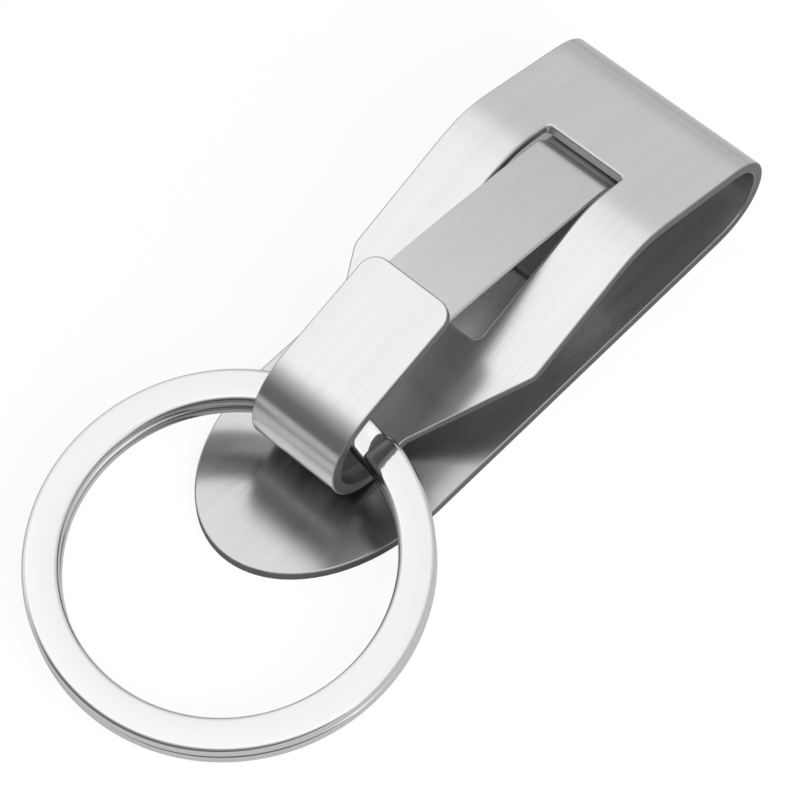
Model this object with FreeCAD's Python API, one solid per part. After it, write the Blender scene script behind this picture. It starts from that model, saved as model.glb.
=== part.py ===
import FreeCAD, Part
import math
import os

V = FreeCAD.Vector

# Belt key clip, lying on its back. X is the width, +Y runs to the belt bend, +Z is up.
# Lengths in mm, angles in degrees. Y counts from the tip of the back plate until the export.

# clip strip: one long strip of steel, bent over the belt and again into the hook
clip_width = 20.9
strip_thickness = 1.1
back_flat = 54.55             # tip to the start of the belt bend
end_round_length = 14.85      # half ellipse at the tip
belt_inner_radius = 3.77      # inside of the belt bend
spread_angle = 9.0            # arc left open at the crown, where the strip flexes
upper_rise_angle = 13.8       # the front plate first rises away from the bend
upper_flat = 11.55
crest_radius = 7.5
lower_fall_angle = 21.4       # then it falls towards the hook
lower_flat = 25.3

# window and taper of the front plate
window_width = 8.6
window_top = 46.65
window_bottom = 27.4
window_top_round = 0.4
window_bottom_round = 1.0
taper_start = 27.9
taper_end = 17.55
taper_corner_round = 2.0

# hook
hook_width = 9.5
hook_inner_radius = 4.65
hook_rise_angle = 17.5        # slope of the hook's front face
nose_end = 24.1
nose_corner_round = 1.7

# gate spring: one thin strip nested in the belt bend
spring_thickness = 0.6
tongue_side_gap = 0.4         # between the tongue and each side of the window
nest_gap = 0.2                # between the moving leg and the front plate
flex_angle = 10.0             # arc left open at the crown of the spring
tail_flat = 15.9              # leg on the back plate
step_setback = 0.5            # from the window's top edge to the step
step_angle = 30.0             # the step lifts the tongue through the window
step_length = 1.5
step_radius = 0.9
lip_gap = 0.3                 # between the lip and the hook's nose
lip_setback = 2.0             # the lip starts this far under the nose
lip_length = 2.4
lip_radius = 2.5
lip_corner_round = 1.2

# split ring: two turns of flat wire joined by a short ramp
ring_outer_diameter = 35.0
wire_width = 3.2
wire_thickness = 1.15
wire_corner_round = 0.35
turn_gap = 0.45
ring_side_shift = 2.05        # the ring lies off the middle of the hook
seat_angle = 41.6             # up the hook's bend to where the wire bears, at the hook's side
seat_gap = 0.2
split_angle = 80.5            # where the upper turn ends
split_clearance_angle = 3.0   # between each end and the ramp
ramp_angle = 22.0
ramp_points = 9

overrun = 5.0                 # how far cutters pass the faces they cut

# derived sizes
half_turn = 180.0
quarter_turn = half_turn / 2
full_turn = 2 * half_turn
half_width = clip_width / 2
half_strip = strip_thickness / 2
half_spring = spring_thickness / 2
belt_radius = belt_inner_radius + half_strip
hook_radius = hook_inner_radius + half_strip
tongue_width = window_width - 2 * tongue_side_gap
bend_centre = V(0, back_flat, strip_thickness + belt_inner_radius)
past_bend = back_flat + belt_radius + overrun
ring_radius = ring_outer_diameter / 2
wire_radius = ring_radius - wire_width / 2
turn_rise = wire_thickness + turn_gap
ring_stack = turn_rise + wire_thickness
to_origin = V(0, -back_flat / 2, 0)


def flat(length):
    return ("flat", length, 0)


def bend(radius, turn):
    return ("bend", radius, turn)


def ahead(heading):
    return V(0, math.cos(math.radians(heading)), math.sin(math.radians(heading)))


def left_of(heading):
    return ahead(heading + quarter_turn)


def walk(start, heading, steps):
    """Where the middle line of a strip stands, and points, after its flats and bends."""
    for kind, size, turn in steps:
        if kind == "flat":
            start = start + ahead(heading) * size
        else:
            side = math.copysign(size, turn)
            start = start + left_of(heading) * side - left_of(heading + turn) * side
            heading = heading + turn
    return start, heading


def steps_through(start, corners, radii):
    """Flats and bends of a middle line that turns at each corner but the last."""
    points = [start] + corners
    runs = [last - first for first, last in zip(points, points[1:])]
    headings = [math.degrees(math.atan2(run.z, run.y)) % full_turn for run in runs]
    turns = [last - first for first, last in zip(headings, headings[1:])]
    trims = [radius * math.tan(math.radians(abs(turn)) / 2) for radius, turn in zip(radii, turns)]
    steps = []
    for run, before, after in zip(runs, [0] + trims, trims + [0]):
        steps.append(flat(run.Length - before - after))
        if len(steps) < 2 * len(runs) - 1:
            place = len(steps) // 2
            steps.append(bend(radii[place], turns[place]))
    return steps


def side_edge(start, heading, step, offset):
    """One edge of a strip's side outline, beside its middle line."""
    end, end_heading = walk(start, heading, [step])
    first = start + left_of(heading) * offset
    last = end + left_of(end_heading) * offset
    if step[0] == "flat":
        return Part.LineSegment(first, last).toShape()
    middle, middle_heading = walk(start, heading, [bend(step[1], step[2] / 2)])
    return Part.Arc(first, middle + left_of(middle_heading) * offset, last).toShape()


def bent_strip(start, heading, steps, thickness, width):
    """Solid strip bent along its flats and bends."""
    edges = []
    place = (start, heading)
    for step in steps:
        for offset in (thickness / 2, -thickness / 2):
            edges.append(side_edge(*place, step, offset))
        place = walk(*place, [step])
    for point, angle in ((start, heading), place):
        across = left_of(angle) * (thickness / 2)
        edges.append(Part.LineSegment(point - across, point + across).toShape())
    side = Part.Face(Part.Wire(Part.__sortEdges__(edges)))
    side.translate(V(-width / 2, 0, 0))
    return side.extrude(V(width, 0, 0))


def upright(face):
    """Plan face made into a cutter that passes the whole height."""
    body = face.extrude(V(0, 0, back_flat + overrun))
    body.translate(V(0, 0, -overrun))
    return body


def plan_cutter(corners, rounds):
    """Upright cutter over a plan outline, some of its corners rounded."""
    body = upright(Part.Face(Part.makePolygon([V(x, y, 0) for x, y in corners + corners[:1]])))
    for (x, y), radius in zip(corners, rounds):
        if radius:
            uprights = [edge for edge in body.Edges if edge.BoundBox.ZLength > overrun]
            corner = min(uprights, key=lambda edge: math.dist((x, y), edge.CenterOfMass[:2]))
            body = body.makeFillet(radius, [corner])
    return body


def plan_box(half, near, far):
    """Corners of a plan rectangle about the clip's middle line, near end first."""
    return [(-half, near), (half, near), (half, far), (-half, far)]


def plate_start():
    heading = quarter_turn + spread_angle / 2
    return bend_centre - left_of(heading) * belt_radius, heading


def plate_steps():
    """Upper half of the belt bend and the front plate, down to the hook."""
    return [
        bend(belt_radius, quarter_turn - upper_rise_angle - spread_angle / 2),
        flat(upper_flat),
        bend(crest_radius, upper_rise_angle + lower_fall_angle),
        flat(lower_flat),
    ]


def hook_start():
    return walk(*plate_start(), plate_steps())


def hook_bend():
    return bend(hook_radius, hook_rise_angle - lower_fall_angle - half_turn)


def under_nose(reach, drop):
    """Point under the hook's front face: back from the nose, and below its middle line."""
    root, heading = walk(*hook_start(), [hook_bend()])
    along = (nose_end - reach - root.y) / ahead(heading).y
    return root + ahead(heading) * along - left_of(heading) * drop


def back_arm():
    """Back plate with its rounded end and the lower half of the belt bend."""
    steps = [flat(back_flat), bend(belt_radius, quarter_turn - spread_angle / 2)]
    strip = bent_strip(V(0, 0, half_strip), 0, steps, strip_thickness, clip_width)
    middle = V(0, end_round_length, 0)
    if end_round_length > half_width:
        oval = Part.Ellipse(V(0, 0, 0), middle + V(half_width, 0, 0), middle)
        tip = Part.ArcOfEllipse(oval, -math.pi / 2, math.pi / 2).toShape()
    else:
        oval = Part.Ellipse(middle + V(half_width, 0, 0), V(0, 0, 0), middle)
        tip = Part.ArcOfEllipse(oval, -math.pi, 0).toShape()
    first, last = [vertex.Point for vertex in tip.Vertexes]
    sides = Part.makePolygon([last, V(last.x, past_bend, 0), V(first.x, past_bend, 0), first])
    outline = Part.Wire(Part.__sortEdges__([tip] + sides.Edges))
    return strip.common(upright(Part.Face(outline)))


def front_arm():
    """Upper half of the belt bend, front plate with its window, and the hook."""
    plate = bent_strip(*plate_start(), plate_steps(), strip_thickness, clip_width)
    hook_half = hook_width / 2
    taper = [
        (-hook_half, 0),
        (hook_half, 0),
        (hook_half, taper_end),
        (half_width, taper_start),
        (half_width, past_bend),
        (-half_width, past_bend),
        (-half_width, taper_start),
        (-hook_half, taper_end),
    ]
    soft = taper_corner_round
    plate = plate.common(plan_cutter(taper, [0, 0, soft, soft, 0, 0, soft, soft]))
    low = window_bottom_round
    high = window_top_round
    window = plan_box(window_width / 2, window_bottom, window_top)
    plate = plate.cut(plan_cutter(window, [low, low, high, high]))
    hook = bent_strip(*hook_start(), [hook_bend(), flat(nose_end)], strip_thickness, hook_width)
    corner = nose_corner_round
    hook = hook.common(plan_cutter(plan_box(hook_half, 0, nose_end), [0, 0, corner, corner]))
    return plate.fuse(hook).removeSplitter()


def spring_tail():
    """Leg of the gate spring on the back plate, with the lower part of its bend."""
    steps = [flat(tail_flat), bend(belt_inner_radius - half_spring, quarter_turn - flex_angle / 2)]
    start = V(0, back_flat - tail_flat, strip_thickness + half_spring)
    return bent_strip(start, 0, steps, spring_thickness, tongue_width)


def gate_tongue():
    """Moving leg of the gate spring: under the plate, up through the window, to the nose."""
    radius = belt_inner_radius - nest_gap - half_spring
    heading = quarter_turn + flex_angle / 2
    start = bend_centre - left_of(heading) * radius
    crown = bend(radius, quarter_turn - upper_rise_angle - flex_angle / 2)
    leg, leg_heading = walk(start, heading, [crown])
    foot = leg + ahead(leg_heading) * ((window_top - step_setback - leg.y) / ahead(leg_heading).y)
    head = foot + ahead(leg_heading - step_angle) * step_length
    drop = half_strip + lip_gap + half_spring
    lip = under_nose(lip_setback, drop)
    tip = under_nose(lip_setback + lip_length, drop)
    steps = [crown] + steps_through(leg, [foot, head, lip, tip], [step_radius, step_radius, lip_radius])
    strip = bent_strip(start, heading, steps, spring_thickness, tongue_width)
    corner = lip_corner_round
    outline = plan_box(tongue_width / 2, tip.y, past_bend)
    return strip.common(plan_cutter(outline, [corner, corner, 0, 0]))


def wire_point(angle, height):
    turn = math.radians(angle)
    return V(wire_radius * math.cos(turn), wire_radius * math.sin(turn), height)


def wire_section(angle, height):
    """Rounded flat section of the ring's wire, square to its path."""
    bar = Part.makeBox(wire_width, wire_width, wire_thickness)
    bar.translate(V(-wire_width / 2, 0, -wire_thickness / 2))
    along = [edge for edge in bar.Edges if edge.BoundBox.YLength > wire_width / 2]
    bar = bar.makeFillet(wire_corner_round, along)
    section = min(bar.Faces, key=lambda face: face.CenterOfMass.y).OuterWire
    section.rotate(V(0, 0, 0), V(0, 0, 1), angle)
    section.translate(wire_point(angle, height))
    return section


def split_ring():
    """Two turns of flat wire in one unbroken length, laid through the hook."""
    ramp_start = split_angle + split_clearance_angle + full_turn
    ramp_end = ramp_start + ramp_angle
    first = ramp_end + split_clearance_angle - full_turn
    last = split_angle + 2 * full_turn
    low = -turn_rise / 2

    def height(angle):
        share = min(max((angle - ramp_start) / ramp_angle, 0), 1)
        return low + turn_rise * share * share * (3 - 2 * share)

    turns = []
    for begin, end in ((first, ramp_start), (ramp_end, last)):
        circle = Part.Circle(V(0, 0, height(begin)), V(0, 0, 1), wire_radius)
        turns.append(Part.ArcOfCircle(circle, math.radians(begin), math.radians(end)).toShape())
    ramp_shares = [count / (ramp_points - 1) for count in range(ramp_points)]
    marks = [ramp_start + ramp_angle * share for share in ramp_shares]
    ramp = Part.BSplineCurve()
    ramp.interpolate(
        Points=[wire_point(mark, height(mark)) for mark in marks],
        InitialTangent=wire_point(ramp_start + quarter_turn, 0),
        FinalTangent=wire_point(ramp_end + quarter_turn, 0),
    )
    sweep = Part.BRepOffsetAPI.MakePipeShell(Part.Wire([turns[0], ramp.toShape(), turns[1]]))
    sweep.setBiNormalMode(V(0, 0, 1))
    sweep.add(wire_section(first, low))
    sweep.build()
    sweep.makeSolid()
    ring = sweep.shape()
    whole_degrees = range(math.ceil(first), math.floor(last - full_turn))
    least = min(height(mark + full_turn) - height(mark) for mark in whole_degrees)
    print("split ring: least gap between turns %.2f mm" % (least - wire_thickness))
    # the far edge lies on the table and the inner edge bears in the hook
    root, heading = hook_start()
    bend_middle = root - left_of(heading) * hook_radius
    seat = bend_middle + ahead(-quarter_turn - seat_angle) * (hook_inner_radius - seat_gap)
    reach = math.sqrt((ring_radius - wire_width) ** 2 - (ring_side_shift + hook_width / 2) ** 2)
    tilt = math.asin(seat.z / (ring_radius + reach))
    lift = ring_radius * math.sin(tilt) + ring_stack / 2 * math.cos(tilt)
    back = reach * math.cos(tilt) + ring_stack / 2 * math.sin(tilt)
    place = V(ring_side_shift, seat.y - back, lift)
    ring.rotate(V(0, 0, 0), V(1, 0, 0), math.degrees(tilt))
    ring.translate(place)
    wire = place + to_origin + ahead(math.degrees(tilt)) * wire_radius
    print("split ring: tilt %.3f, wire in the hook at %s" % (math.degrees(tilt), wire))
    return ring


os.makedirs("parts", exist_ok=True)
print("belt bend centre", bend_centre + to_origin)
for make in (back_arm, front_arm, spring_tail, gate_tongue, split_ring):
    shape = make()
    shape.translate(to_origin)
    print(make.__name__, shape.isValid(), len(shape.Solids), "%.1f mm3" % shape.Volume)
    shape.exportStep("parts/%s.step" % make.__name__)
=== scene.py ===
import math

import bpy
import numpy as np
from mathutils import Matrix, Vector
from mathutils.geometry import delaunay_2d_cdt


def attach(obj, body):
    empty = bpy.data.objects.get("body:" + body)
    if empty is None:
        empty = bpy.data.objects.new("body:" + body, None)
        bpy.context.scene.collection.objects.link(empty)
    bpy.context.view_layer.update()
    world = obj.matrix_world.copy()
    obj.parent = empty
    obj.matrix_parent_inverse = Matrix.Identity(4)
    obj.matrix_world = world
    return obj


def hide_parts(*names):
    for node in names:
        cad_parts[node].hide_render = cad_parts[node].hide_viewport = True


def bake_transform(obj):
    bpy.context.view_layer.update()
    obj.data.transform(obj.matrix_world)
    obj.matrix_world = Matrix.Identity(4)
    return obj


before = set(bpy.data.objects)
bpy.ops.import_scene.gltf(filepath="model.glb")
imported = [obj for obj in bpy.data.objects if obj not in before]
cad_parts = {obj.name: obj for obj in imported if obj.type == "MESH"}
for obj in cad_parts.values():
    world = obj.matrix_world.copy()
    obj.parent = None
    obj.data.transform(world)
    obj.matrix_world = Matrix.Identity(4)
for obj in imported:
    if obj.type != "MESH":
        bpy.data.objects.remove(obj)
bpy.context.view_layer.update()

# Back plate. The flat end of the clip, from its rounded tip to the belt bend. The clip is one piece
# of stainless strip: blanked flat with its window and taper, its edges tumbled, then bent over the
# belt and again into the hook. Lengths are in mm along the strip, from the tip to the hook's nose.

mm = 0.001
strip_width = 20.9
half_width = strip_width / 2
strip_thickness = 1.1
tumbled_edge = (0.16, 1.0)      # its rounding, and how dulled and darkened the sheared face is, from 0 to 1, partly painted shade
tip_y = -27.275                 # where the tip lies in the frame
tip_length = 14.85              # half ellipse at the tip
tip_points = 32                 # on each side of the tip
back_flat = 54.55               # from the tip to the belt bend
belt_inner_radius = 3.77
crown_from, crown_to = 72, 108  # degrees of the belt bend between which it flexes
upper_rise = 13.8               # degrees: the front plate first rises away from the belt bend
upper_flat = 11.55
crest_radius = 7.5
lower_fall = 21.4               # degrees: then it falls towards the hook
lower_flat = 25.3
hook_inner_radius = 4.65
hook_rise = 17.5                # degrees: slope of the hook's front face
hook_flat = 12.0                # as laid out; the nose ends where the front arm's blank does
bend_ease = 4.0                 # the bends come in and go out over this length


def arc(radius, turn):
    """Length and turn, in degrees, of a round bend."""
    return radius * math.radians(abs(turn)), turn


def lay_out(start, heading, steps, ease, pitch=0.02):
    """Middle line of a bent strip in the side view, from its flats and bends as (length, turn).
    Its bends come in and go out softly, over ease."""
    total = sum(length for length, _ in steps)
    at = np.arange(-ease, total + ease + pitch, pitch)
    bends = np.cumsum([0] + [length for length, _ in steps])
    ways = np.radians(heading + np.cumsum([0] + [turn for _, turn in steps]))
    way = np.interp(at, bends, ways)
    between = (way[1:] + way[:-1]) / 2
    y = np.concatenate(([0], np.cumsum(np.cos(between) * pitch)))
    z = np.concatenate(([0], np.cumsum(np.sin(between) * pitch)))
    y += start[0] - np.interp(0, at, y)
    z += start[1] - np.interp(0, at, z)
    half_ease = int(ease / pitch / 2)
    average = np.ones(2 * half_ease + 1) / (2 * half_ease + 1)
    kept = slice(half_ease, len(at) - half_ease)
    at, y, z = at[kept], np.convolve(y, average, "valid"), np.convolve(z, average, "valid")
    way = np.unwrap(np.arctan2(np.gradient(z), np.gradient(y)))
    curved = [(first - ease / 2, last + ease / 2, turn)
              for first, last, (_, turn) in zip(bends, bends[1:], steps) if turn]
    return {"at": at, "y": y, "z": z, "way": way, "bends": bends, "curved": curved}


def place_on(line, at):
    """(y, z, direction) of the middle line at a length along it."""
    return tuple(float(np.interp(at, line["at"], line[key])) for key in ("y", "z", "way"))


def bend_marks(line, low, high, step=3.0, closest=0.02):
    """Lengths at which a strip has a row across it, one for each step degrees of a bend, so that
    its bends come out round."""
    marks = []
    for first, last, turn in line["curved"]:
        count = max(4, math.ceil(abs(turn) / step))
        marks += [first + (last - first) * i / count for i in range(count + 1)]
    marks = sorted(m for m in marks if low + closest < m < high - closest)
    return [m for m, before in zip(marks, [-math.inf] + marks) if m - before > closest]


def with_rows(outline, marks, touching=1e-4):
    """The outline with a point wherever a row crosses one of its edges."""
    dense = []
    for a, b in zip(outline, outline[1:] + outline[:1]):
        dense.append(a)
        low, high = sorted((a[1], b[1]))
        crossed = [m for m in marks if low + touching < m < high - touching]
        for m in sorted(crossed, reverse=a[1] > b[1]):
            dense.append(a + (b - a) * ((m - a[1]) / (b[1] - a[1])))
    return dense


def inside(point, loops):
    """Whether a point of the flat blank is on the metal: in its outline and out of its windows."""
    x, s = point
    hit = False
    for loop in loops:
        for a, b in zip(loop, loop[1:] + loop[:1]):
            if (a[1] > s) != (b[1] > s) and x < a[0] + (b[0] - a[0]) * (s - a[1]) / (b[1] - a[1]):
                hit = not hit
    return hit


def bent_blank(name, loops, line, marks, thickness, edges, seams=(), dull_and_shade=None, lean=None,
               bulge=0.0, steps=4):
    """Flat blank bent along its middle line, with a row across it at each of the marks.
    The first loop is its outline, the others are its windows. For each loop, edges gives the
    rounding and how dulled and darkened its sheared face is, the dark partly painted shade, as a
    number or a function of the length. At the seams the strip goes on into the next piece. The dull
    function, of length and inside_face, says how little a face was brushed and how much shade is
    painted on it. lean(length) and bulge, in radians, change only how the faces catch the light:
    lean tips them along the strip, and bulge crowns the outside face across it."""
    loops = [with_rows(loop, marks) for loop in loops]
    points, outward, trims, spans = [], [], [], []
    for loop, (rounding, shear) in zip(loops, edges):
        spans.append((len(points), len(loop)))
        for i, here in enumerate(loop):
            run_in = (here - loop[i - 1]).normalized()
            run_out = (loop[(i + 1) % len(loop)] - here).normalized()
            ahead = (run_in + run_out).normalized()
            out = Vector((ahead[1], -ahead[0]))
            if any(abs(here[1] - seam) < 1e-4 for seam in seams):
                out = Vector((math.copysign(1.0, here[0]), 0.0))
            points.append(here)
            outward.append(out)
            trims.append((rounding, shear(here[1]) if callable(shear) else shear))
    count = len(points)
    sides = [(first + i, first + (i + 1) % size) for first, size in spans for i in range(size)]

    # both flat faces, in triangles between the rows and within the rounded edges
    flat = [p - o * rounding for p, o, (rounding, _) in zip(points, outward, trims)]
    rims = [flat[first:first + size] for first, size in spans]
    rows = []
    for mark in marks:
        row = sorted((i for i in range(count) if abs(flat[i][1] - mark) < 1e-5),
                     key=lambda i: flat[i][0])
        rows += list(zip(row, row[1:]))
    rows = [(a, b) for a, b in rows if inside((flat[a] + flat[b]) / 2, rims)]
    cut = delaunay_2d_cdt(flat, sides + rows, [], 0, 1e-6)
    triangles, sources = cut[2], cut[3]
    if any(not ids for ids in sources):
        raise ValueError(name + ": the rows cross the outline between its points")
    turns = [math.pi / 2 * (1 - k / steps) for k in range(steps + 1)]
    layers = [(turn, 1) for turn in turns] + [(turn, -1) for turn in reversed(turns)]
    faces = []
    for triangle in triangles:
        triangle = [sources[i][0] for i in triangle]
        if inside(sum((flat[i] for i in triangle), Vector((0, 0))) / len(triangle), rims):
            faces.append(triangle)
            faces.append([i + (len(layers) - 1) * count for i in reversed(triangle)])

    # the edge: a quarter round from the inside face to the sheared wall, and one to the outside
    for k in range(len(layers) - 1):
        for a, b in sides:
            faces.append([a + (k + 1) * count, b + (k + 1) * count, b + k * count, a + k * count])
    # it is dullest and darkest on the wall, partly as painted shade, and the tumbled rounding
    # brightens up to the face
    bright_turn, fade_power = math.radians(89), 0.6
    verts, normals, flats, dull_and_shade_values = [], [], [], []
    for turn, side in layers:
        for p, o, (rounding, shear) in zip(points, outward, trims):
            x, s = p - o * rounding * (1 - math.cos(turn))
            height = side * (thickness / 2 - rounding + rounding * math.sin(turn))
            y, z, way = place_on(line, s)
            verts.append((x * mm, (y - height * math.sin(way)) * mm,
                          (z + height * math.cos(way)) * mm))
            way += lean(s) if lean else 0.0
            nx, ns, nh = o[0] * math.cos(turn), o[1] * math.cos(turn), side * math.sin(turn)
            nx += 0.0 if side > 0 else math.sin(bulge * x / strip_width) * math.sin(turn)
            normals.append((nx, ns * math.cos(way) - nh * math.sin(way),
                            ns * math.sin(way) + nh * math.cos(way)))
            # the faces lie side by side on the map, so that each has brushed lines of its own
            flats.append((x + side * strip_width, s))
            sheared = shear * max(0.0, 1 - turn / bright_turn) ** fade_power
            dull_and_shade_values.append(max(sheared, dull_and_shade(s, side > 0) if dull_and_shade else 0.0))

    mesh = bpy.data.meshes.new(name)
    mesh.from_pydata(verts, [], faces)
    blank = mesh.uv_layers.new(name="blank")
    on_blank = np.array([flats[corner.vertex_index] for corner in mesh.loops], np.float32)
    blank.data.foreach_set("uv", on_blank.ravel())
    shade = mesh.attributes.new("dull_and_shade", "FLOAT", "POINT")
    shade.data.foreach_set("value", np.array(dull_and_shade_values, np.float32))
    mesh.shade_smooth()
    mesh.normals_split_custom_set_from_vertices(normals)
    mesh.validate()
    piece = bpy.data.objects.new(name, mesh)
    bpy.context.scene.collection.objects.link(piece)
    return piece


def linear(code):
    """Linear colour of an sRGB hex value."""
    parts = [int(code[i:i + 2], 16) / 255 for i in (1, 3, 5)]
    parts = [c / 12.92 if c <= 0.04045 else ((c + 0.055) / 1.055) ** 2.4 for c in parts]
    return (*parts, 1.0)


def add(tree, kind, inputs=None, **settings):
    """A new node with its settings, and its inputs set or linked."""
    node = tree.nodes.new(kind)
    for name, value in settings.items():
        setattr(node, name, value)
    for socket, value in (inputs or {}).items():
        if isinstance(value, bpy.types.NodeSocket):
            tree.links.new(value, node.inputs[socket])
        else:
            node.inputs[socket].default_value = value
    return node


def satin_steel(name, pale, dark, raw_and_shade, smooth, rough, line_width, skin=0.22):
    """Steel brushed along the strip: a soft gloss, drawn out across fine straight lines, pale and
    dark. Where its mask says, it is dulled and painted darker, partly for unbrushed and sheared
    faces
    and partly as painted shade: towards the unpolished colour, hazier, and less of a mirror by the
    share skin, the grey skin left from rolling."""
    line_length = 15                   # mm
    band_width, band_length = 1.3, 30  # mm: broader bands from the belt that brushed the lines
    dull_haze = 0.22
    steel = bpy.data.materials.new(name)
    steel.use_nodes = True
    tree = steel.node_tree
    gloss = tree.nodes["Principled BSDF"]
    gloss.inputs["Anisotropic"].default_value = 0.4
    blank = add(tree, "ShaderNodeUVMap", uv_map="blank")
    lines = add(tree, "ShaderNodeMapping", {
        "Vector": blank.outputs["UV"], "Scale": (1 / line_width, 1 / line_length, 1)})
    fine = add(tree, "ShaderNodeTexNoise", {
        "Vector": lines.outputs["Vector"], "Scale": 1.0, "Detail": 3.0})
    streaks = add(tree, "ShaderNodeMapping", {
        "Vector": blank.outputs["UV"], "Scale": (1 / band_width, 1 / band_length, 1)})
    bands = add(tree, "ShaderNodeTexNoise", {
        "Vector": streaks.outputs["Vector"], "Scale": 1.0, "Detail": 2.0})
    total = add(tree, "ShaderNodeMath", {
        0: fine.outputs["Fac"], 1: bands.outputs["Fac"]}, operation="ADD")
    grain = add(tree, "ShaderNodeMath", {0: total.outputs[0], 1: 0.5}, operation="MULTIPLY")
    brushed = add(tree, "ShaderNodeMix", {
        "Factor": grain.outputs[0], "A": linear(dark), "B": linear(pale)}, data_type="RGBA")
    # the belt skips in streaks, so the dulled places and their painted shade are a little uneven
    dull_and_shade_mask = add(tree, "ShaderNodeAttribute", attribute_name="dull_and_shade")
    skips = add(tree, "ShaderNodeMapRange", {
        "Value": bands.outputs["Fac"], "From Min": 0.35, "From Max": 0.65,
        "To Min": 0.8, "To Max": 1.1})
    uneven = add(tree, "ShaderNodeMath", {
        0: dull_and_shade_mask.outputs["Fac"], 1: skips.outputs["Result"]}, operation="MULTIPLY", use_clamp=True)
    tone = add(tree, "ShaderNodeMix", {
        "Factor": uneven.outputs[0], "A": brushed.outputs["Result"], "B": linear(raw_and_shade)},
        data_type="RGBA")
    tree.links.new(tone.outputs["Result"], gloss.inputs["Base Color"])
    bare = add(tree, "ShaderNodeMath", {
        0: dull_and_shade_mask.outputs["Fac"], 1: -skin, 2: 1.0}, operation="MULTIPLY_ADD")
    tree.links.new(bare.outputs[0], gloss.inputs["Metallic"])
    sheen = add(tree, "ShaderNodeMapRange", {
        "Value": grain.outputs[0], "From Min": 0.3, "From Max": 0.7,
        "To Min": rough, "To Max": smooth})
    haze = add(tree, "ShaderNodeMath", {
        0: dull_and_shade_mask.outputs["Fac"], 1: dull_haze, 2: sheen.outputs["Result"]}, operation="MULTIPLY_ADD")
    tree.links.new(haze.outputs[0], gloss.inputs["Roughness"])
    lay = add(tree, "ShaderNodeTangent", direction_type="UV_MAP", uv_map="blank")
    tree.links.new(lay.outputs["Tangent"], gloss.inputs["Tangent"])
    scratch = add(tree, "ShaderNodeBump", {
        "Height": fine.outputs["Fac"], "Strength": 0.02, "Distance": 0.01 * mm})
    tree.links.new(scratch.outputs["Normal"], gloss.inputs["Normal"])
    return steel


# satin stainless steel: pale grey with long soft lights; its sheared edges are dulled, and it is
# painted dark grey as shade on those edges, inside the clip and where it turns up into the hook
# (its lines, really a few hundredths of a millimetre wide, are drawn coarser so that they show)
clip_steel = satin_steel("satin_stainless_steel", pale="#d6d6d5", dark="#c6c6c5", raw_and_shade="#565655",
                         smooth=0.17, rough=0.25, line_width=0.13)

belt_radius = belt_inner_radius + strip_thickness / 2
hook_radius = hook_inner_radius + strip_thickness / 2
clip_line = lay_out((tip_y, strip_thickness / 2), 0, [
    (back_flat, 0),
    arc(belt_radius, 180 - upper_rise),
    (upper_flat, 0),
    arc(crest_radius, upper_rise + lower_fall),
    (lower_flat, 0),
    arc(hook_radius, hook_rise - lower_fall - 180),
    (hook_flat, 0),
], bend_ease)
front_start, hook_start, hook_end = (clip_line["bends"][i] for i in (2, 5, 6))
crown_low = back_flat + arc(belt_radius, crown_from)[0]
crown_high = back_flat + arc(belt_radius, crown_to)[0]


def eased(value, low, high):
    """0 up to low and 1 from high on, with a soft start and end between."""
    share = min(max((value - low) / (high - low), 0.0), 1.0)
    return share * share * (3 - 2 * share)


def clip_dull_and_shade(length, inside_face):
    """Painted shade: inside the clip the faces are painted darker and duller under the front plate,
    and most by the hook, with none past the hook's bend. Outside, painted shade darkens the strip
    where it turns up into the hook, and half of it stays further on."""
    past_hook = length - hook_start
    if inside_face:
        in_clip = max(0.5 * eased(length, 17, 27), eased(past_hook, -8, -4))
        return in_clip * (1 - eased(past_hook, 5, 8))
    return eased(past_hook, -1, 3) * (1 - 0.5 * eased(past_hook, 8, 13))


def tip_lean(length):
    """The plate dips a little towards its tip, like the end of a spoon."""
    return math.radians(6) * (eased(length, 4, 28) - 1)


tip_turns = [math.pi / 2 * (k / tip_points) for k in range(-tip_points, tip_points + 1)]
tip = [Vector((half_width * math.sin(t), tip_length * (1 - math.cos(t)))) for t in tip_turns]
outline = tip + [Vector((half_width, crown_low)), Vector((-half_width, crown_low))]
back_plate = bent_blank("clip_back_plate", [outline], clip_line,
                        bend_marks(clip_line, 0, crown_low), strip_thickness, [tumbled_edge],
                        seams=[crown_low], dull_and_shade=clip_dull_and_shade, lean=tip_lean)
back_plate.data.materials.append(clip_steel)
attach(back_plate, "back")
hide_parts("back_arm")

# Crown of the belt bend. The same stainless strip between the two arms, where the real clip flexes
# when the front arm is sprung open; here it is drawn as its own piece, at rest.

outline = [Vector((-half_width, crown_low)), Vector((half_width, crown_low)),
           Vector((half_width, crown_high)), Vector((-half_width, crown_high))]
crown = bent_blank("clip_crown", [outline], clip_line, bend_marks(clip_line, crown_low, crown_high),
                   strip_thickness, [tumbled_edge], seams=[crown_low, crown_high], dull_and_shade=clip_dull_and_shade)
crown.data.materials.append(clip_steel)
bend_y, bend_z = tip_y + back_flat, strip_thickness / 2 + belt_radius
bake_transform(crown)

# Front arm. The same stainless strip from the crown down: the front plate with its window, the
# taper, and the hook, bent up and back over itself to a rounded nose. Where its features lie is
# given in the plan, in mm from the tip of the back plate.

hook_half_width = 4.75
window_half_width = 4.3
window_top_at, window_bottom_at = 46.65, 27.4
window_top_round, window_bottom_round = 0.4, 1.0
window_rounding = 0.3  # of its sheared edge
taper_start_at, taper_end_at = 27.9, 17.55
taper_round = 2.0
nose_at = 24.1
nose_round = 1.7
front_bulge = math.radians(7)  # from edge to edge


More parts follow.
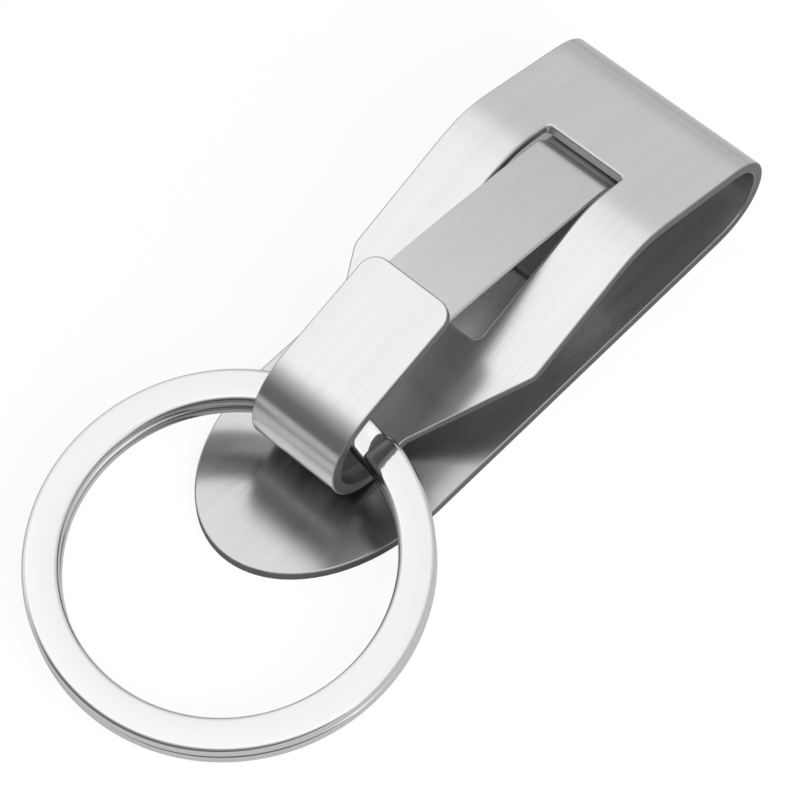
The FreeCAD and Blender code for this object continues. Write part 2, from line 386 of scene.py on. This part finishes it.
def rounded(corners, radii, steps=10):
    """Closed outline with each corner turned on its radius."""
    outline = []
    for i, (corner, radius) in enumerate(zip(corners, radii)):
        here = Vector(corner)
        if not radius:
            outline.append(here)
            continue
        before = (Vector(corners[i - 1]) - here).normalized()
        after = (Vector(corners[(i + 1) % len(corners)]) - here).normalized()
        half_angle = before.angle(after) / 2
        trim = radius / math.tan(half_angle)
        middle = here + (before + after).normalized() * (radius / math.sin(half_angle))
        first = here + before * trim - middle
        last = here + after * trim - middle
        turn = first.angle_signed(last)
        for k in range(steps + 1):
            outline.append(middle + first.copy() @ Matrix.Rotation(turn * k / steps, 2))
    return outline


def length_at(y_from_tip, low, high, side):
    """Length along the strip at which one of its faces reaches a place in the plan."""
    for halving in range(60):
        middle = (low + high) / 2
        y, _, way = place_on(clip_line, middle)
        reached = y - tip_y - side * strip_thickness / 2 * math.sin(way)
        forward = math.cos(way) > 0
        if (reached < y_from_tip) == forward:
            low = middle
        else:
            high = middle
    return (low + high) / 2


front_end = hook_start + 1.0
taper_start = length_at(taper_start_at, front_start, front_end, -1)
taper_end = length_at(taper_end_at, front_start, front_end, -1)
window_top = length_at(window_top_at, front_start, front_end, -1)
window_bottom = length_at(window_bottom_at, front_start, front_end, -1)
nose = length_at(nose_at, hook_end, hook_end + hook_flat, 1)


def window_edge_shade(length):
    """Painted shade on the window's sheared edge: full on its sides and bottom, a third of it along
    its top.
    """
    return 0.35 + 0.65 * eased(length, window_top + 0.5, window_top + 3)


def front_lean(length):
    """The plate dips a little on its way into the hook."""
    past_hook = length - hook_start
    return math.radians(-4.5) * eased(past_hook, -14, -5) * (1 - eased(past_hook, -1, 4))


outline = rounded(
    [(-half_width, crown_high), (half_width, crown_high), (half_width, taper_start),
     (hook_half_width, taper_end), (hook_half_width, nose), (-hook_half_width, nose),
     (-hook_half_width, taper_end), (-half_width, taper_start)],
    [0, 0, taper_round, taper_round, nose_round, nose_round, taper_round, taper_round])
window = rounded(
    [(-window_half_width, window_top), (-window_half_width, window_bottom),
     (window_half_width, window_bottom), (window_half_width, window_top)],
    [window_top_round, window_bottom_round, window_bottom_round, window_top_round])
front_plate = bent_blank("clip_front_plate", [outline, window], clip_line,
                         bend_marks(clip_line, crown_high, nose), strip_thickness,
                         [tumbled_edge, (window_rounding, window_edge_shade)], seams=[crown_high],
                         dull_and_shade=clip_dull_and_shade, lean=front_lean, bulge=front_bulge)
front_plate.data.materials.append(clip_steel)
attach(front_plate, "front")
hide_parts("front_arm")

# Leg of the gate spring. The gate spring is a thinner strip of spring steel folded into a U that
# nests in the belt bend, held there by its own spring. This leg of the U lies on the back plate.

spring_thickness = 0.6
tongue_half_width = 3.9
leg_edge = (0.28, 0.5)
leg_corner_round = 0.4
leg_flat = 15.9
leg_turn = 85      # degrees of the U that the leg takes
spring_ease = 0.6  # the spring's bends are sharper than the clip's
spare = 0.3        # laid out past the end of the leg and of the fold

# spring steel as rolled, hazy, and painted a darker grey than the gate's steel, as shade where
# it lies inside the clip
shaded_rolled_steel = satin_steel("shaded_unbrushed_spring_steel", pale="#969695", dark="#868685", raw_and_shade="#686867",
                           smooth=0.3, rough=0.38, line_width=0.15)

leg_radius = belt_inner_radius - spring_thickness / 2
leg_end = leg_flat + arc(leg_radius, leg_turn)[0]
leg_line = lay_out((tip_y + back_flat - leg_flat, strip_thickness + spring_thickness / 2), 0,
                   [(leg_flat, 0), arc(leg_radius, leg_turn), (spare, 0)], spring_ease)
outline = rounded([(-tongue_half_width, 0), (tongue_half_width, 0),
                   (tongue_half_width, leg_end), (-tongue_half_width, leg_end)],
                  [leg_corner_round, leg_corner_round, 0, 0])
# its faces take half of that painted shade, all along
leg = bent_blank("spring_leg", [outline], leg_line, bend_marks(leg_line, 0, leg_end),
                 spring_thickness, [leg_edge], seams=[leg_end],
                 dull_and_shade=lambda length, inside_face: 0.5)
leg.data.materials.append(shaded_rolled_steel)
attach(leg, "back")
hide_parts("spring_tail")

# Gate of the spring. The other leg of the same strip of spring steel: it lies under the front
# plate, steps up through the window, and runs on as a slightly bowed tongue that shuts the hook
# with its lip under the nose.

gate_edge = (0.1, 1.0)
nest_gap = 0.2       # to the front plate above it
step_setback = 0.95  # from the window's top edge
step_angle = 30
step_length = 1.5
step_radius = 0.9
lip_gap = 0.3        # under the hook's nose
lip_start, lip_end = 2.0, 4.4  # back from the nose
lip_radius = 2.5
lip_corner_round = 1.2
bow = 5.5            # degrees over the tongue's length

# satin spring steel: a shade darker and hazier than the clip, with fine lines along the tongue
spring_steel = satin_steel("satin_spring_steel", pale="#cacac9", dark="#bcbcbb", raw_and_shade="#a4a4a3",
                           smooth=0.24, rough=0.32, line_width=0.15, skin=0.55)

gate_radius = belt_inner_radius - nest_gap - spring_thickness / 2
past_crown = math.radians(90 - leg_turn)
gate_start = (bend_y + gate_radius * math.cos(past_crown),
              bend_z + gate_radius * math.sin(past_crown))
rise_way = math.radians(180 - upper_rise)
nest_y = bend_y + gate_radius * math.sin(rise_way)
nest_z = bend_z - gate_radius * math.cos(rise_way)
nest_run = (window_top_at - step_setback + tip_y - nest_y) / math.cos(rise_way)
foot = Vector((nest_y, nest_z)) + Vector((math.cos(rise_way), math.sin(rise_way))) * nest_run
step_way = rise_way - math.radians(step_angle)
head = foot + step_length * Vector((math.cos(step_way), math.sin(step_way)))
past_bend = 3  # mm on from the hook's bend, its face is flat
nose_y, nose_z, nose_way = place_on(clip_line, hook_end + past_bend)
lip_drop = strip_thickness / 2 + lip_gap + spring_thickness / 2


def below_nose(reach):
    """Point under the hook's face, that far back from the nose."""
    along = (nose_at - reach + tip_y - nose_y) / math.cos(nose_way)
    face = Vector((nose_y, nose_z)) + along * Vector((math.cos(nose_way), math.sin(nose_way)))
    return face + lip_drop * Vector((math.sin(nose_way), -math.cos(nose_way)))


gate_corners = [Vector((nest_y, nest_z)), foot, head, below_nose(lip_start), below_nose(lip_end)]
gate_radii = [step_radius, step_radius, lip_radius]
gate_ways = [math.degrees(math.atan2(q[1] - p[1], q[0] - p[0])) % 360
             for p, q in zip(gate_corners, gate_corners[1:])]
gate_trims = [0] + [radius * math.tan(math.radians(abs(after - before)) / 2)
                    for radius, before, after in zip(gate_radii, gate_ways, gate_ways[1:])] + [0]
gate_steps = [arc(gate_radius, leg_turn - upper_rise)]
tongue_run = 2  # after the nest and the step; the bends at its two ends make up for its bow
for i, (here, there) in enumerate(zip(gate_corners, gate_corners[1:])):
    run = (there - here).length - gate_trims[i] - gate_trims[i + 1]
    gate_steps.append((run, bow if i == tongue_run else 0))
    if i < len(gate_radii):
        turn = gate_ways[i + 1] - gate_ways[i] - (bow / 2 if i else 0)
        gate_steps.append(arc(gate_radii[i], turn))
gate_line = lay_out(gate_start, 180 - leg_turn, gate_steps, spring_ease)
gate_end = sum(length for length, _ in gate_steps)
step_end = sum(length for length, _ in gate_steps[:5])


def gate_dull(length, inside_face):
    """The inside isn't brushed, and the outside only from the head of the step on."""
    return 0.9 if inside_face else 0.3 * (1 - eased(length, step_end - 0.6, step_end))


outline = rounded([(-tongue_half_width, 0), (tongue_half_width, 0),
                   (tongue_half_width, gate_end), (-tongue_half_width, gate_end)],
                  [0, 0, lip_corner_round, lip_corner_round])
gate = bent_blank("spring_gate", [outline], gate_line, bend_marks(gate_line, 0, gate_end),
                  spring_thickness, [gate_edge], seams=[0], dull_and_shade=gate_dull)
gate.data.materials.append(spring_steel)
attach(gate, "gate")
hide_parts("gate_tongue")

# Crown of the gate spring. The closed end of the U, of the same strip of spring steel, where the
# real spring gives when the tongue is pressed down; here it is drawn as its own piece, at rest.

fold_thickness = 0.38
fold_edge = (0.08, 1.0)
fold_radius = 3.37
fold_from, fold_to = 68, 112  # degrees of the U
fold_ease = 0.2
fold_end = arc(fold_radius, fold_to - fold_from)[0]
fold_start = (bend_y + fold_radius * math.sin(math.radians(fold_from)),
              bend_z - fold_radius * math.cos(math.radians(fold_from)))
fold_line = lay_out(fold_start, fold_from, [arc(fold_radius, fold_to - fold_from), (spare, 0)],
                    fold_ease)
outline = [Vector((-tongue_half_width, 0)), Vector((tongue_half_width, 0)),
           Vector((tongue_half_width, fold_end)), Vector((-tongue_half_width, fold_end))]
fold = bent_blank("spring_fold", [outline], fold_line, bend_marks(fold_line, 0, fold_end),
                  fold_thickness, [fold_edge], seams=[0, fold_end],
                  dull_and_shade=lambda length, inside_face: 1.0)
fold.data.materials.append(spring_steel)
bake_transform(fold)

# Split ring. Flat steel wire wound two turns on a mandrel, the turns joined by a short ramp under
# the hook, tumbled and nickel plated to a mirror. It lies through the hook with its far side down.

wire_points = 461
corner_points = 7
ring_sizes = {
    "Wire Radius": 15.875 * mm,
    "Wire Width": 3.2 * mm,
    "Wire Thickness": 1.42 * mm,
    "Corner Round": 0.57 * mm,
    "Turn Rise": 1.46 * mm,
    "First Angle": math.radians(108.5),
    "Ramp Start": math.radians(441.0),
    "Ramp End": math.radians(459.0),
    "Last Angle": math.radians(800.5),
    "Tilt": math.radians(7.2623),
    "Roll": math.radians(2.3),
    "End Scale": 0.88,
    # the ramp is pinched in the press, fully up to one angle from its middle and not past the other
    "Ramp Middle": math.radians(450),
    "Pinched Within": math.radians(9),
    "Pinched Until": math.radians(14),
    # the inner wall, within these radii, is painted darker as shade on the hook's side, from here
    # along the ring's Y
    "Inner Wall": 14.4 * mm,
    "Inner Wall Edge": 14.7 * mm,
    "Shaded From": -1 * mm,
    "Shaded Fully": 7 * mm,
}
ring_centre = (2.05 * mm, -28.48 * mm, 3.7 * mm)

ring_tree = bpy.data.node_groups.new("wind_split_ring", "GeometryNodeTree")
ring_tree.is_modifier = True
ring_tree.interface.new_socket("Geometry", in_out="INPUT", socket_type="NodeSocketGeometry")
for name in ring_sizes:
    ring_tree.interface.new_socket(name, in_out="INPUT", socket_type="NodeSocketFloat")
ring_tree.interface.new_socket("Centre", in_out="INPUT", socket_type="NodeSocketVector")
ring_tree.interface.new_socket("Plating", in_out="INPUT", socket_type="NodeSocketMaterial")
ring_tree.interface.new_socket("Geometry", in_out="OUTPUT", socket_type="NodeSocketGeometry")
given = add(ring_tree, "NodeGroupInput").outputs

# the wire's middle line: round and round, with a step up on the ramp
straight = add(ring_tree, "GeometryNodeCurvePrimitiveLine")
dense = add(ring_tree, "GeometryNodeResampleCurve", {
    "Curve": straight.outputs["Curve"], "Count": wire_points})
along = add(ring_tree, "GeometryNodeSplineParameter")
angle = add(ring_tree, "ShaderNodeMapRange", {
    "Value": along.outputs["Factor"],
    "To Min": given["First Angle"], "To Max": given["Last Angle"]})
climb = add(ring_tree, "ShaderNodeMapRange", {
    "Value": angle.outputs["Result"],
    "From Min": given["Ramp Start"], "From Max": given["Ramp End"],
    "To Min": -0.5, "To Max": 0.5}, interpolation_type="SMOOTHSTEP")
height = add(ring_tree, "ShaderNodeMath", {
    0: climb.outputs["Result"], 1: given["Turn Rise"]}, operation="MULTIPLY")
cosine = add(ring_tree, "ShaderNodeMath", {0: angle.outputs["Result"]}, operation="COSINE")
sine = add(ring_tree, "ShaderNodeMath", {0: angle.outputs["Result"]}, operation="SINE")
across = add(ring_tree, "ShaderNodeMath", {
    0: cosine.outputs[0], 1: given["Wire Radius"]}, operation="MULTIPLY")
forward = add(ring_tree, "ShaderNodeMath", {
    0: sine.outputs[0], 1: given["Wire Radius"]}, operation="MULTIPLY")
wound = add(ring_tree, "ShaderNodeCombineXYZ", {
    "X": across.outputs[0], "Y": forward.outputs[0], "Z": height.outputs[0]})
turns = add(ring_tree, "GeometryNodeSetPosition", {
    "Geometry": dense.outputs["Curve"], "Position": wound.outputs["Vector"]})
upright = add(ring_tree, "GeometryNodeSetCurveNormal", {
    "Curve": turns.outputs["Geometry"]}, mode="Z_UP")

# marks that the plating reads: pinched on the ramp, cut on the snipped ends
ends = add(ring_tree, "GeometryNodeCurveEndpointSelection")
from_middle = add(ring_tree, "ShaderNodeMath", {
    0: angle.outputs["Result"], 1: given["Ramp Middle"]}, operation="SUBTRACT")
off_middle = add(ring_tree, "ShaderNodeMath", {0: from_middle.outputs[0]}, operation="ABSOLUTE")
bite = add(ring_tree, "ShaderNodeMapRange", {
    "Value": off_middle.outputs[0],
    "From Min": given["Pinched Until"], "From Max": given["Pinched Within"]})
pressed = add(ring_tree, "GeometryNodeStoreNamedAttribute", {
    "Geometry": upright.outputs["Curve"], "Name": "pinched", "Value": bite.outputs["Result"]})
snipped = add(ring_tree, "GeometryNodeStoreNamedAttribute", {
    "Geometry": pressed.outputs["Geometry"], "Name": "cut", "Value": ends.outputs["Selection"]})

# the wire itself, a little smaller at its snipped ends
section = add(ring_tree, "GeometryNodeCurvePrimitiveQuadrilateral", {
    "Width": given["Wire Width"], "Height": given["Wire Thickness"]})
soft = add(ring_tree, "GeometryNodeFilletCurve", {
    "Curve": section.outputs["Curve"], "Radius": given["Corner Round"], "Count": corner_points},
    mode="POLY")
snip = add(ring_tree, "ShaderNodeMapRange", {
    "Value": ends.outputs["Selection"], "To Min": 1.0, "To Max": given["End Scale"]})
wire = add(ring_tree, "GeometryNodeCurveToMesh", {
    "Curve": snipped.outputs["Geometry"], "Profile Curve": soft.outputs["Curve"],
    "Scale": snip.outputs["Result"], "Fill Caps": True})

# the last mark: painted shade on the inner wall, on the hook's side
spot = add(ring_tree, "GeometryNodeInputPosition")
plan = add(ring_tree, "ShaderNodeVectorMath", {
    0: spot.outputs["Position"], 1: (1, 1, 0)}, operation="MULTIPLY")
far = add(ring_tree, "ShaderNodeVectorMath", {0: plan.outputs["Vector"]}, operation="LENGTH")
within = add(ring_tree, "ShaderNodeMapRange", {
    "Value": far.outputs["Value"],
    "From Min": given["Inner Wall Edge"], "From Max": given["Inner Wall"]})
parts = add(ring_tree, "ShaderNodeSeparateXYZ", {"Vector": spot.outputs["Position"]})
hook_side = add(ring_tree, "ShaderNodeMapRange", {
    "Value": parts.outputs["Y"],
    "From Min": given["Shaded From"], "From Max": given["Shaded Fully"]})
wall_shade_amount = add(ring_tree, "ShaderNodeMath", {
    0: within.outputs["Result"], 1: hook_side.outputs["Result"]}, operation="MULTIPLY")
wall_shade_stored = add(ring_tree, "GeometryNodeStoreNamedAttribute", {
    "Geometry": wire.outputs["Mesh"], "Name": "wall_shade", "Value": wall_shade_amount.outputs[0]})

tilt = add(ring_tree, "ShaderNodeCombineXYZ", {"X": given["Tilt"], "Y": given["Roll"]})
laid = add(ring_tree, "GeometryNodeTransform", {
    "Geometry": wall_shade_stored.outputs["Geometry"], "Translation": given["Centre"],
    "Rotation": tilt.outputs["Vector"]})
whole = add(ring_tree, "GeometryNodeRealizeInstances", {"Geometry": laid.outputs["Geometry"]})
plated = add(ring_tree, "GeometryNodeSetMaterial", {
    "Geometry": whole.outputs["Geometry"], "Material": given["Plating"]})
add(ring_tree, "NodeGroupOutput", {"Geometry": plated.outputs["Geometry"]})

# polished nickel plate: a bright mirror, faintly rippled by the tumbling, dented where the ramp was
# pressed, thin, greyer and hazier on the cut ends, and painted greyer as shade on the inner wall by
# the hook, hazier there too
ripple_size = 1.6 * mm
ripple_depth = 0.03 * mm
dent_size = 1.7 * mm
dent_depth = 0.5 * mm
cut_and_wall_shade_haze = 0.08
nickel = bpy.data.materials.new("polished_nickel_plate")
nickel.use_nodes = True
tree = nickel.node_tree
mirror = tree.nodes["Principled BSDF"]
mirror.inputs["Metallic"].default_value = 1.0
place = add(tree, "ShaderNodeTexCoord")
tumble = add(tree, "ShaderNodeTexNoise", {
    "Vector": place.outputs["Object"], "Scale": 1 / ripple_size, "Detail": 3.0})
wall_shade = add(tree, "ShaderNodeAttribute", attribute_name="wall_shade")
cut = add(tree, "ShaderNodeAttribute", attribute_name="cut")
# greyer on the cut ends, and painted greyer as shade on the inner wall by the hook
cut_and_wall_shade = add(tree, "ShaderNodeMath", {
    0: wall_shade.outputs["Fac"], 1: cut.outputs["Fac"]}, operation="MAXIMUM")
tone = add(tree, "ShaderNodeMix", {
    "Factor": cut_and_wall_shade.outputs[0], "A": linear("#d8d8d8"), "B": linear("#909090")}, data_type="RGBA")
tree.links.new(tone.outputs["Result"], mirror.inputs["Base Color"])
polish = add(tree, "ShaderNodeMapRange", {
    "Value": tumble.outputs["Fac"], "From Min": 0.3, "From Max": 0.7,
    "To Min": 0.03, "To Max": 0.07})
haze = add(tree, "ShaderNodeMath", {
    0: cut_and_wall_shade.outputs[0], 1: cut_and_wall_shade_haze, 2: polish.outputs["Result"]}, operation="MULTIPLY_ADD")
tree.links.new(haze.outputs[0], mirror.inputs["Roughness"])
ripple = add(tree, "ShaderNodeBump", {
    "Height": tumble.outputs["Fac"], "Strength": 0.2, "Distance": ripple_depth})
pinched = add(tree, "ShaderNodeAttribute", attribute_name="pinched")
dents = add(tree, "ShaderNodeTexNoise", {
    "Vector": place.outputs["Object"], "Scale": 1 / dent_size, "Detail": 0.0})
dented = add(tree, "ShaderNodeBump", {
    "Height": dents.outputs["Fac"], "Strength": pinched.outputs["Fac"], "Distance": dent_depth,
    "Normal": ripple.outputs["Normal"]})
tree.links.new(dented.outputs["Normal"], mirror.inputs["Normal"])

holder = bpy.data.objects.new("ring_winding", bpy.data.meshes.new("ring_winding"))
bpy.context.scene.collection.objects.link(holder)
winding = holder.modifiers.new("wind", "NODES")
winding.node_group = ring_tree
settings = dict(ring_sizes, Centre=ring_centre, Plating=nickel)
for item in ring_tree.interface.items_tree:
    if item.in_out == "INPUT" and item.name in settings:
        winding[item.identifier] = settings[item.name]
wound_holder = holder.evaluated_get(bpy.context.evaluated_depsgraph_get())
ring_mesh = bpy.data.meshes.new_from_object(wound_holder)
ring_mesh.name = "key_ring"
bpy.data.objects.remove(holder)
ring = bpy.data.objects.new("key_ring", ring_mesh)
bpy.context.scene.collection.objects.link(ring)
ring_mesh.shade_smooth()
ring_mesh.set_sharp_from_angle(angle=math.radians(40))
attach(ring, "ring")
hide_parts("split_ring")

# Table and light. A white laminate table top under one broad soft light, in a pale room that is
# darkest low down behind the camera and has a bright wall on the left.

table_half = 3.0  # metres
table_mesh = bpy.data.meshes.new("table_top")
table_mesh.from_pydata([(-table_half, -table_half, 0), (table_half, -table_half, 0),
                        (table_half, table_half, 0), (-table_half, table_half, 0)],
                       [], [(0, 1, 2, 3)])
table = bpy.data.objects.new("table_top", table_mesh)
table.location.z = -0.02 * mm
bpy.context.scene.collection.objects.link(table)

# white laminate: plain and matt, nearly pure white to the eye, so that only the shadow shows
camera_white, mirrored_white = 0.82, 0.1  # how much of it is plain white rather than lit
laminate = bpy.data.materials.new("white_laminate")
laminate.use_nodes = True
tree = laminate.node_tree
tree.nodes.clear()
ray = add(tree, "ShaderNodeLightPath")
looked_at = add(tree, "ShaderNodeMath", {
    0: ray.outputs["Is Camera Ray"], 1: ray.outputs["Is Glossy Ray"]}, operation="MAXIMUM")
seen = add(tree, "ShaderNodeMath", {
    0: looked_at.outputs[0], 1: ray.outputs["Is Transmission Ray"]}, operation="MAXIMUM")
glow = add(tree, "ShaderNodeMath", {0: seen.outputs[0], 1: mirrored_white}, operation="MULTIPLY")
share = add(tree, "ShaderNodeMath", {
    0: ray.outputs["Is Camera Ray"], 1: camera_white, 2: glow.outputs[0]}, operation="MULTIPLY_ADD")
paint = add(tree, "ShaderNodeMix", {
    "Factor": ray.outputs["Is Camera Ray"], "A": linear("#c8c8c8"), "B": linear("#fafafa")},
    data_type="RGBA")
matt = add(tree, "ShaderNodeBsdfDiffuse", {"Color": paint.outputs["Result"]})
white = add(tree, "ShaderNodeEmission", {"Color": linear("#ffffff"), "Strength": 1.0})
top = add(tree, "ShaderNodeMixShader", {
    0: share.outputs[0], 1: matt.outputs["BSDF"], 2: white.outputs["Emission"]})
add(tree, "ShaderNodeOutputMaterial", {"Surface": top.outputs["Shader"]})
table_mesh.materials.append(laminate)

lamp = bpy.data.lights.new("soft_box", "AREA")
lamp.shape = "RECTANGLE"
lamp.size, lamp.size_y = 0.5, 0.4
lamp.energy = 4.0
box = bpy.data.objects.new("soft_box", lamp)
box.visible_glossy = False
box.location = (0.45, -0.1, 0.35)
box.rotation_euler = (Vector((0, 0, 0)) - box.location).to_track_quat("-Z", "Y").to_euler()
bpy.context.scene.collection.objects.link(box)

# how bright the room is, in degrees from the horizon beyond the belt bend, over the top, to the
# horizon behind the camera
room_levels = [
    (0, 0.78), (14, 0.68), (30, 0.88), (43, 0.91), (50, 1.03), (57, 1.16), (68, 1.26), (81, 1.27),
    (90, 1.36), (98, 1.38), (107, 1.46), (114, 1.3), (126, 0.7), (138, 0.4), (152, 0.2),
    (180, 0.16)]
wall_level = 1.1
diffuse_loss = 0.5  # the room lights matt surfaces by half, so that the soft box's shadow shows
world = bpy.data.worlds.new("pale_room")
bpy.context.scene.world = world
world.use_nodes = True
tree = world.node_tree
tree.nodes.clear()
way = add(tree, "ShaderNodeTexCoord")
split = add(tree, "ShaderNodeSeparateXYZ", {"Vector": way.outputs["Generated"]})
over = add(tree, "ShaderNodeMath", {
    0: split.outputs["Z"], 1: split.outputs["Y"]}, operation="ARCTAN2")
half_turn = add(tree, "ShaderNodeMapRange", {
    "Value": over.outputs[0], "From Min": 0.0, "From Max": math.pi})
sky = add(tree, "ShaderNodeValToRGB", {"Fac": half_turn.outputs["Result"]})
stops = sky.color_ramp.elements
while len(stops) < len(room_levels):
    stops.new(0.5)
for stop, (degrees, level) in zip(stops, room_levels):
    stop.position = degrees / 180
    stop.color = (level, level, level, 1.0)
to_left = add(tree, "ShaderNodeMapRange", {
    "Value": split.outputs["X"], "From Min": -0.6, "From Max": -0.85})
walls = add(tree, "ShaderNodeMix", {
    "Factor": to_left.outputs["Result"], "A": sky.outputs["Color"],
    "B": (wall_level, wall_level, wall_level, 1.0)}, data_type="RGBA")
ray = add(tree, "ShaderNodeLightPath")
strength = add(tree, "ShaderNodeMath", {
    0: ray.outputs["Is Diffuse Ray"], 1: -diffuse_loss, 2: 1.0}, operation="MULTIPLY_ADD")
room = add(tree, "ShaderNodeBackground", {
    "Color": walls.outputs["Result"], "Strength": strength.outputs[0]})
white = add(tree, "ShaderNodeBackground", {"Color": linear("#ffffff"), "Strength": 1.0})
shown = add(tree, "ShaderNodeMixShader", {
    0: ray.outputs["Is Camera Ray"], 1: room.outputs["Background"], 2: white.outputs["Background"]})
add(tree, "ShaderNodeOutputWorld", {"Surface": shown.outputs["Shader"]})
bpy.context.scene.view_settings.view_transform = "Standard"

# Camera. A long lens about 300 mm away, above and in front of the hook. Its place is in mm, and its
# focal length is counted in pixels of the picture.

azimuth, elevation = math.radians(42.291), math.radians(57.924)
distance = 298.9
focal_pixels, picture_pixels = 3420, 800
aim = Vector((0, -0.975, 4.0))
off_right, off_up = 2.647, 5.008  # of the aim from the middle of the picture
right = Vector((math.cos(azimuth), math.sin(azimuth), 0))
up = Vector((-math.sin(azimuth) * math.sin(elevation), math.cos(azimuth) * math.sin(elevation),
             math.cos(elevation)))
look = Vector((-math.sin(azimuth) * math.cos(elevation), math.cos(azimuth) * math.cos(elevation),
               -math.sin(elevation)))
eye = aim - off_right * right - off_up * up - distance * look
lens = bpy.data.cameras.new("long_lens")
lens.sensor_width = 36.0
lens.lens = lens.sensor_width * focal_pixels / picture_pixels
lens.clip_start = 0.01
camera = bpy.data.objects.new("long_lens", lens)
turned = Matrix((right, up, -look)).transposed().to_4x4()
camera.matrix_world = Matrix.Translation(eye * mm) @ turned
bpy.context.scene.collection.objects.link(camera)
bpy.context.scene.camera = camera

bpy.context.view_layer.update()
